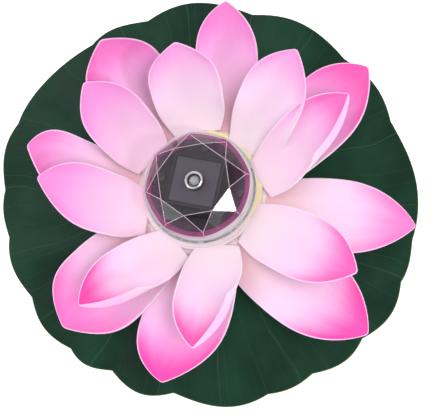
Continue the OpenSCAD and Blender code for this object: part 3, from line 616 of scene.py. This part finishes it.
hub_yellow, nodes, links, shader = material("hub_yellow", roughness=0.65)
where = nodes.new("ShaderNodeTexCoord")
one_side = nodes.new("ShaderNodeVectorMath")
one_side.operation = "DOT_PRODUCT"
one_side.inputs[1].default_value = (0.85, 0.53, 0)
links.new(where.outputs["Object"], one_side.inputs[0])
crescent = map_range(nodes, links, one_side.outputs["Value"], 0.004, 0.026)
rim_band = map_range(nodes, links, off_axis(nodes, links, where), 0.0413, 0.0403)
yellow_side = maths(nodes, links, "MULTIPLY", crescent, rim_band)
links.new(blend(nodes, links, yellow_side, (0.80, 0.66, 0.68), (0.82, 0.70, 0.36)), shader.inputs["Base Color"])
finish(nodes, links, shader, 1100, 0.00006, 0.55, 0.7, 40)
for sheet, node in ((outer_sheet, "outer_petals"), (inner_sheet, "inner_petals")):
    for foam in (petal_print, foam_white, hub_yellow):
        sheet.data.materials.append(foam)
    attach(sheet, "base")
    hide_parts(node)

# ---- Foam float ----
# A turned ring of white closed-cell foam that carries the whole lamp. The clamp ring presses it against
# the leaf, and its skin is softly dimpled where the cells were cut.

# In mm: the bore, the outside, the lower and upper faces and the rounding of the outer corners
FLOAT_BORE, FLOAT_RADIUS, FLOAT_LOW, FLOAT_HIGH, FLOAT_ROUND = 33.4, 65.0, 6.0, 20.0, 4.0


def float_skin(u, v):
    """A ring of revolution whose section is a rectangle with round outer corners; u runs once round the
    section. Slow sines dent the outside by a few tenths."""
    corners = np.radians(np.linspace(-90, 90, 9))
    centre = FLOAT_RADIUS - FLOAT_ROUND
    out, up = centre + FLOAT_ROUND * np.cos(corners), FLOAT_ROUND * np.sin(corners)
    low = zip(out[:5], FLOAT_LOW + FLOAT_ROUND + up[:5])
    high = zip(out[4:], FLOAT_HIGH - FLOAT_ROUND + up[4:])
    first, last = (FLOAT_BORE, FLOAT_LOW), (FLOAT_BORE, FLOAT_HIGH)
    section = np.array([first, *low, *high, last, first])
    travel = np.append(0, np.cumsum(np.hypot(*np.diff(section, axis=0).T)))
    r = np.interp(u * travel[-1], travel, section[:, 0])
    z = np.interp(u * travel[-1], travel, section[:, 1])
    turn = 2 * np.pi * v
    r = r - np.where(r > centre - 1, 0.15 * (1 + np.sin(9 * turn + z)), 0)
    return r * np.cos(turn) / 1000, r * np.sin(turn) / 1000, z / 1000


float_points, float_quads, _, _ = surface(100, 240, float_skin, closed=True)
float_block = mesh_object("float_block", float_points, [float_quads])
float_foam, nodes, links, shader = material("float_foam", roughness=0.8)
where = nodes.new("ShaderNodeTexCoord")
cells = nodes.new("ShaderNodeTexVoronoi")
cells.inputs["Scale"].default_value = 700
links.new(where.outputs["Object"], cells.inputs["Vector"])
pores = nodes.new("ShaderNodeBump")
pores.inputs["Distance"].default_value = 0.0002
links.new(cells.outputs["Distance"], pores.inputs["Height"])
links.new(pores.outputs["Normal"], shader.inputs["Normal"])
walls = map_range(nodes, links, cells.outputs["Distance"], 0.0, 0.6)
shade = blend(nodes, links, walls, (0.72, 0.72, 0.70), (0.85, 0.85, 0.83))
links.new(shade, shader.inputs["Base Color"])
float_block.data.materials.append(float_foam)
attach(float_block, "base")
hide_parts("foam_float")

# ---- Housing and clamp ring ----
# The housing is one white moulding with a threaded neck. The clamp ring snaps over its lugs from below and
# holds the float, leaf and petal sheets against the housing's flange.

housing_white, nodes, links, shader = material("housing_white", (0.60, 0.59, 0.60), 0.4)
finish(nodes, links, shader, 2400, 0.00002, 0.3, 0.46)
dress("lower_housing", housing_white)
clamp_white, nodes, links, shader = material("clamp_white", (0.76, 0.77, 0.76), 0.45)
finish(nodes, links, shader, 1600, 0.00004, 0.36, 0.52)
dress("clamp_ring", clamp_white)

# ---- Lens ----
# A clear acrylic cap, moulded as a cut gem with a flat table and sixteen facets, screwed onto the neck.
# Its facets meet in slightly rounded edges; beads along them are pale pink, a painted glint that shows them
# as fine pale lines. Shadow, diffuse and glossy rays pass the plastic unbent, so that what lies inside stays
# lit.

# In mm, and the turn of the facets in degrees. Falls are the slopes of the star and the kite facets
LENS_TOP, TABLE_RADIUS, SKIRT_RADIUS, CROWN_TURN = 56.0, 24.6, 36.3, 8.0
STAR_FALL, KITE_FALL = np.tan(np.radians(42.5)), np.tan(np.radians(57))
HALF_STEP = np.cos(np.radians(22.5))
STAR_TIP_RADIUS = TABLE_RADIUS * (KITE_FALL - STAR_FALL * HALF_STEP) / (KITE_FALL * HALF_STEP - STAR_FALL)
STAR_TIP_Z = LENS_TOP - (STAR_TIP_RADIUS - TABLE_RADIUS * HALF_STEP) * STAR_FALL
lens_clear, nodes, links, shader = material("lens_clear", roughness=0.0, IOR=1.49, Transmission_Weight=1.0)
path = nodes.new("ShaderNodeLightPath")
unbent = nodes.new("ShaderNodeBsdfTransparent")
lit_through = nodes.new("ShaderNodeMixShader")
no_bend = maths(nodes, links, "MAXIMUM", path.outputs["Is Shadow Ray"], path.outputs["Is Diffuse Ray"])
links.new(maths(nodes, links, "MAXIMUM", no_bend, path.outputs["Is Glossy Ray"]), lit_through.inputs["Fac"])
links.new(shader.outputs["BSDF"], lit_through.inputs[1])
links.new(unbent.outputs["BSDF"], lit_through.inputs[2])
links.new(lit_through.outputs["Shader"], nodes["Material Output"].inputs["Surface"])
where = nodes.new("ShaderNodeTexCoord")
flow_marks = nodes.new("ShaderNodeTexNoise")
flow_marks.inputs["Scale"].default_value = 35
links.new(where.outputs["Object"], flow_marks.inputs["Vector"])
links.new(blend(nodes, links, flow_marks.outputs["Fac"], (1, 0.985, 0.995), (0.975, 0.96, 0.975)),
          shader.inputs["Base Color"])
dress("lens_cap", lens_clear)


def edge_bead(start, end, radius, sides=8, steps=8):
    """A thin round bead from one point to another: circles of a radius, square to the way between them."""
    way = (end - start) / np.linalg.norm(end - start)
    first = np.cross(way, [0.0, 0.0, 1.0])
    first = first / np.linalg.norm(first)
    second = np.cross(way, first)

    def corner(u, v):
        turn = 2 * np.pi * v[..., None]
        point = start + u[..., None] * (end - start) + radius * (np.cos(turn) * first + np.sin(turn) * second)
        return point[..., 0], point[..., 1], point[..., 2]

    points, quads, _, _ = surface(steps, sides, corner, closed=True)
    last = len(points) - sides
    caps = [np.arange(sides)[None], (last + np.arange(sides))[::-1][None]]
    return points, quads, caps


def crown_point(step, radius, height):
    """A point of the crown at so many half facets from its first star point, in metres."""
    turn = np.radians(CROWN_TURN + 22.5 * step)
    return np.array([radius * np.cos(turn), radius * np.sin(turn), height]) / 1000


BEAD_RADIUS = 0.00018
FOOT_Z = LENS_TOP - (SKIRT_RADIUS * HALF_STEP - TABLE_RADIUS) * KITE_FALL
beads = []
for i in range(8):
    corner_a = crown_point(2 * i - 1, TABLE_RADIUS, LENS_TOP)
    corner_b = crown_point(2 * i + 1, TABLE_RADIUS, LENS_TOP)
    tip = crown_point(2 * i, STAR_TIP_RADIUS, STAR_TIP_Z)
    foot = crown_point(2 * i, SKIRT_RADIUS, FOOT_Z)
    beads += [(corner_a, corner_b), (corner_a, tip), (corner_b, tip), (tip, foot)]
points, faces, start = [], [], 0
for from_point, to_point in beads:
    p, quads, caps = edge_bead(from_point, to_point, BEAD_RADIUS)
    points.append(p)
    faces += [quads + start] + [cap + start for cap in caps]
    start += len(p)
facet_edges = mesh_object("facet_edges", np.concatenate(points), faces)
# Painted glint: the beads are pale pink and half clear, so the facet edges read as fine bright lines.
edge_painted_glint, nodes, links, shader = material(
    "edge_painted_glint", (0.84, 0.72, 0.80), 0.3, Transmission_Weight=0.5, IOR=1.49)
finish(nodes, links, shader, 900, 0.00002, 0.15, 0.35)
facet_edges.data.materials.append(edge_painted_glint)
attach(facet_edges, "cap")

# ---- Seal and tint ring ----
# The seal is a soft ring of clear silicone that the lens's flange presses on. The tint ring is a magenta
# insert inside the neck, with painted shade on its upper face, whose colour shows through the lens's lower
# facets.

seal_clear, nodes, links, shader = material(
    "seal_clear", (0.86, 0.87, 0.88), 0.3, Transmission_Weight=0.4, IOR=1.41)
finish(nodes, links, shader, 500, 0.00003, 0.2, 0.4)
dress("lens_o_ring", seal_clear)
tint_magenta, nodes, links, shader = material("tint_magenta", roughness=0.25)
where = nodes.new("ShaderNodeTexCoord")
cloud = nodes.new("ShaderNodeTexNoise")
cloud.inputs["Scale"].default_value = 80
links.new(where.outputs["Object"], cloud.inputs["Vector"])
stained = blend(nodes, links, cloud.outputs["Fac"], (0.36, 0.03, 0.19), (0.46, 0.06, 0.27))
# Painted shade: faces that look upwards are darkened to a deep plum.
facing = nodes.new("ShaderNodeNewGeometry")
facing_axes = nodes.new("ShaderNodeSeparateXYZ")
links.new(facing.outputs["Normal"], facing_axes.inputs[0])
upper_face_shade = map_range(nodes, links, facing_axes.outputs["Z"], 0.4, 0.9)
links.new(blend(nodes, links, upper_face_shade, stained, (0.20, 0.02, 0.105)), shader.inputs["Base Color"])
dress("tint_ring", tint_magenta)

# ---- Panel tray and its screws ----
# A dark grey moulding on four screws: a round plate and a square seat that frames the solar cell. Its outer
# rim is magenta like the tint ring beside it.

# The radii in metres between which the rim's magenta comes in
MAGENTA_FROM, MAGENTA_FULL = 0.0268, 0.0276
tray_grey, nodes, links, shader = material("tray_grey", roughness=0.5, Specular_IOR_Level=0.25)
where = nodes.new("ShaderNodeTexCoord")
rim_magenta = map_range(nodes, links, off_axis(nodes, links, where), MAGENTA_FROM, MAGENTA_FULL)
links.new(blend(nodes, links, rim_magenta, (0.030, 0.023, 0.033), (0.24, 0.026, 0.12)), shader.inputs["Base Color"])
finish(nodes, links, shader, 1500, 0.000006, 0.4, 0.6)
dress("panel_tray", tray_grey)
dress("led_holder", tray_grey)


def metal(name, colour, rough, brush=(60, 60, 900)):
    """A metal whose fine brushing is a noise stretched along one axis, in gloss and in a shallow height."""
    made, nodes, links, shader = material(name, colour, rough, Metallic=1.0)
    where = nodes.new("ShaderNodeTexCoord")
    place = nodes.new("ShaderNodeMapping")
    place.inputs["Scale"].default_value = brush
    lines = nodes.new("ShaderNodeTexNoise")
    lines.inputs["Scale"].default_value = 3
    links.new(where.outputs["Object"], place.inputs["Vector"])
    links.new(place.outputs[0], lines.inputs["Vector"])
    gloss = map_range(nodes, links, lines.outputs["Fac"], 0.3, 0.7, rough * 0.7, rough * 1.3)
    links.new(gloss, shader.inputs["Roughness"])
    fine = nodes.new("ShaderNodeBump")
    fine.inputs["Distance"].default_value = 0.00001
    links.new(lines.outputs["Fac"], fine.inputs["Height"])
    links.new(fine.outputs["Normal"], shader.inputs["Normal"])
    return made


steel = metal("screw_steel", (0.62, 0.61, 0.59), 0.3)
for node in ("board_screws", "door_screws"):
    dress(node, steel)
dress("tray_screws", metal("screw_black", (0.07, 0.07, 0.075), 0.45))

# ---- Solar cell ----
# A square of dark silicon under epoxy, turned a little from the lens's facets. Fine silver fingers cross it
# and its edge is bordered by a darker line.

# In metres: the pitch of the fingers and of the bars across them, and where the dark border comes in
FINGER_PITCH, BAR_PITCH, BORDER_FROM, BORDER_FULL = 0.002, 0.016, 0.01465, 0.01485
CELL_TURN = np.radians(12.6)
cell_dark, nodes, links, shader = material("cell_dark", roughness=0.35)
shader.inputs["Coat Weight"].default_value = 0.2
shader.inputs["Specular IOR Level"].default_value = 0.35
shader.inputs["Coat Roughness"].default_value = 0.1
where = nodes.new("ShaderNodeTexCoord")
square_up = nodes.new("ShaderNodeMapping")
square_up.inputs["Rotation"].default_value = (0, 0, CELL_TURN)
links.new(where.outputs["Object"], square_up.inputs["Vector"])
cell_axes = nodes.new("ShaderNodeSeparateXYZ")
links.new(square_up.outputs[0], cell_axes.inputs[0])
counted = maths(nodes, links, "MULTIPLY", cell_axes.outputs["X"], 1 / FINGER_PITCH)
finger = map_range(nodes, links, maths(nodes, links, "PINGPONG", counted, 0.5), 0.07, 0.02)
counted = maths(nodes, links, "MULTIPLY", cell_axes.outputs["Y"], 1 / BAR_PITCH)
between = maths(nodes, links, "PINGPONG", maths(nodes, links, "ADD", counted, 0.5), 0.5)
bar = map_range(nodes, links, between, 0.03, 0.018)
lines = maths(nodes, links, "MAXIMUM", finger, bar)
crystal = nodes.new("ShaderNodeTexVoronoi")
crystal.inputs["Scale"].default_value = 160
links.new(where.outputs["Object"], crystal.inputs["Vector"])
silicon = blend(nodes, links, crystal.outputs["Color"], (0.046, 0.036, 0.054), (0.058, 0.047, 0.067))
far_x = maths(nodes, links, "ABSOLUTE", cell_axes.outputs["X"])
far_y = maths(nodes, links, "ABSOLUTE", cell_axes.outputs["Y"])
border = map_range(nodes, links, maths(nodes, links, "MAXIMUM", far_x, far_y), BORDER_FROM, BORDER_FULL)
bordered = blend(nodes, links, border, silicon, (0.003, 0.003, 0.004))
faint = maths(nodes, links, "MULTIPLY", lines, 0.10)
links.new(blend(nodes, links, faint, bordered, (0.12, 0.11, 0.12)), shader.inputs["Base Color"])
dress("solar_cell", cell_dark)

# ---- Lamp and its collar ----
# A 7 mm dome of clear resin with its chip in a small cup, in a bright plated collar with a turned lip.

lamp_clear, nodes, links, shader = material(
    "lamp_clear", (0.70, 0.69, 0.72), 0.08, IOR=1.5, Transmission_Weight=0.55)
finish(nodes, links, shader, 300, 0.00002, 0.03, 0.15)
dress("led_lamp", lamp_clear)
collar_chrome = metal("collar_chrome", (0.82, 0.82, 0.84), 0.12, (200, 200, 900))
dress("led_collar", collar_chrome)

# ---- Electronics ----
# A green laminate board with a driver chip, a wound coil, a can capacitor and four chip resistors.

laminate, nodes, links, shader = material("laminate_green", roughness=0.35)
where = nodes.new("ShaderNodeTexCoord")
tracks = nodes.new("ShaderNodeTexBrick")
tracks.inputs["Scale"].default_value = 240
tracks.inputs["Color1"].default_value = (0.02, 0.13, 0.05, 1)
tracks.inputs["Color2"].default_value = (0.03, 0.17, 0.07, 1)
tracks.inputs["Mortar"].default_value = (0.05, 0.24, 0.10, 1)
links.new(where.outputs["Object"], tracks.inputs["Vector"])
links.new(tracks.outputs["Color"], shader.inputs["Base Color"])
raised = nodes.new("ShaderNodeBump")
raised.inputs["Distance"].default_value = 0.00003
links.new(tracks.outputs["Fac"], raised.inputs["Height"])
links.new(raised.outputs["Normal"], shader.inputs["Normal"])
dress("circuit_board", laminate)
dress("switch_board", laminate)


def plain(name, colour, rough, node_names, grain_scale=1500, grain_depth=0.00003, **sockets):
    """A moulded or painted finish with the shared grain and scuffs, put on one or more CAD nodes."""
    made, nodes, links, shader = material(name, colour, rough, **sockets)
    where = nodes.new("ShaderNodeTexCoord")
    cloud = nodes.new("ShaderNodeTexNoise")
    cloud.inputs["Scale"].default_value = 120
    cloud.inputs["Detail"].default_value = 4
    links.new(where.outputs["Object"], cloud.inputs["Vector"])
    clouded = map_range(nodes, links, cloud.outputs["Fac"], 0.35, 0.65)
    darker = tuple(0.88 * c for c in colour)
    links.new(blend(nodes, links, clouded, darker, colour), shader.inputs["Base Color"])
    finish(nodes, links, shader, grain_scale, grain_depth, rough * 0.8, rough * 1.2)
    for node in node_names:
        dress(node, made)


plain("chip_black", (0.02, 0.02, 0.022), 0.45, ["driver_chip", "chip_resistors"])
copper = metal("coil_copper", (0.72, 0.36, 0.18), 0.35, (60, 60, 2400))
dress("boost_coil", copper)
plain("capacitor_blue", (0.05, 0.16, 0.34), 0.3, ["capacitor"])

# ---- Battery compartment ----
# A grey cradle holds one rechargeable cell in a green sleeve, between a plated spring and a plated plate.
# A white door with a gasket closes it from below with two screws, and a foam pad keeps the cell from
# rattling.

plain("cradle_grey", (0.50, 0.51, 0.52), 0.5, ["battery_cradle"])
can_steel = metal("battery_can", (0.66, 0.66, 0.65), 0.25, (900, 60, 60))
for node in ("battery_cell", "battery_terminal"):
    dress(node, can_steel)
plain("sleeve_green", (0.06, 0.42, 0.10), 0.25, ["battery_sleeve"], Coat_Weight=0.4)
nickel = metal("contact_nickel", (0.74, 0.70, 0.60), 0.28)
for node in ("contact_plate", "contact_spring"):
    dress(node, nickel)
plain("door_white", (0.78, 0.78, 0.77), 0.42, ["battery_door"])
plain("gasket_grey", (0.10, 0.10, 0.105), 0.6, ["door_gasket"], 900, 0.00006)
plain("pad_black", (0.025, 0.025, 0.025), 0.85, ["battery_pad"], 700, 0.0002)

# ---- Power button and switch ----
# A soft grey button in a grey bezel presses the plunger of a small latching switch on its own board.

plain("button_grey", (0.13, 0.13, 0.135), 0.65, ["power_button"], 1200, 0.00005)
plain("bezel_grey", (0.30, 0.30, 0.31), 0.45, ["button_bezel"])
plain("plunger_ivory", (0.78, 0.74, 0.62), 0.4, ["switch_plunger"])
plain("switch_black", (0.03, 0.03, 0.032), 0.4, ["switch_body"])

# ---- Leads ----
# Stranded wires in coloured insulation, soldered to the cell, the battery contacts and the switch.

for colour_name, colour, node_names in (
    ("red", (0.55, 0.03, 0.025), ["panel_lead_red", "battery_lead_red"]),
    ("black", (0.02, 0.02, 0.02), ["panel_lead_black", "battery_lead_black"]),
    ("white", (0.75, 0.75, 0.74), ["switch_leads"]),
):
    plain("wire_" + colour_name, colour, 0.4, node_names, 2000, 0.00002)
